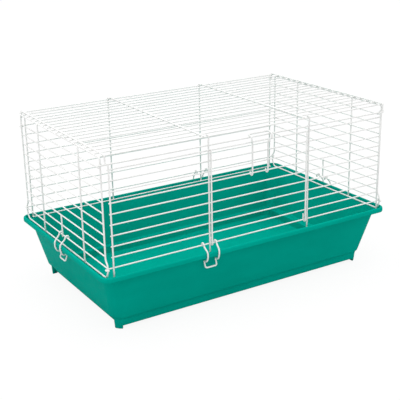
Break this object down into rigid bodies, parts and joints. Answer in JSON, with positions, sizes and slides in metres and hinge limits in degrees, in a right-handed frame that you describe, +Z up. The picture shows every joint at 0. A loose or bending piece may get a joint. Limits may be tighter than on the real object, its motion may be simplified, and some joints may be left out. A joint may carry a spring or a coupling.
{
  "type": "wire rabbit cage",
  "caption": "Small-animal cage: welded wire panels clipped to a deep moulded plastic tray, with a drop-down front door held by a bent-wire latch.",
  "frame": {"origin": "on the table under the middle of the tray, at the underside of its feet", "axes": "+Z up, +X along the cage to the right as seen from the door side, the door side faces -Y"},
  "size_m": [0.7706, 0.4666, 0.407],
  "materials": {
    "tray_plastic": "moulded teal polypropylene with a soft gloss",
    "coated_wire": "white powder coat on steel wire"
  },
  "bodies": {
    "cage": {"base_tray": "tray_plastic", "front_panel": "coated_wire", "back_panel": "coated_wire", "top_panel": "coated_wire", "left_end_panel": "coated_wire", "right_end_panel": "coated_wire"},
    "door": {"front_door": "coated_wire"},
    "latch": {"door_latch": "coated_wire"},
    "front_clip": {"front_tray_clip": "coated_wire"},
    "right_clip": {"right_tray_clip": "coated_wire"},
    "back_clip": {"back_tray_clip": "coated_wire"},
    "left_clip": {"left_tray_clip": "coated_wire"}
  },
  "joints": [
    {"name": "door_hinge", "type": "hinge", "parent": "cage", "child": "door", "pos_m": [0, -0.214, 0.16166], "axis": [1, 0, 0], "range_deg": [0, 105]},
    {"name": "latch_pivot", "type": "hinge", "parent": "door", "child": "latch", "pos_m": [0, -0.214, 0.30086], "axis": [1, 0, 0], "range_deg": [0, 150]},
    {"name": "front_clip_pivot", "type": "hinge", "parent": "cage", "child": "front_clip", "pos_m": [-0.1205, -0.214, 0.16166], "axis": [-1, 0, 0], "range_deg": [0, 105]},
    {"name": "right_clip_pivot", "type": "hinge", "parent": "cage", "child": "right_clip", "pos_m": [0.366, 0, 0.16516], "axis": [0, -1, 0], "range_deg": [0, 105]},
    {"name": "back_clip_pivot", "type": "hinge", "parent": "cage", "child": "back_clip", "pos_m": [0.1267, 0.214, 0.16866], "axis": [1, 0, 0], "range_deg": [0, 105]},
    {"name": "left_clip_pivot", "type": "hinge", "parent": "cage", "child": "left_clip", "pos_m": [-0.366, 0, 0.16516], "axis": [0, 1, 0], "range_deg": [0, 105]}
  ]
}
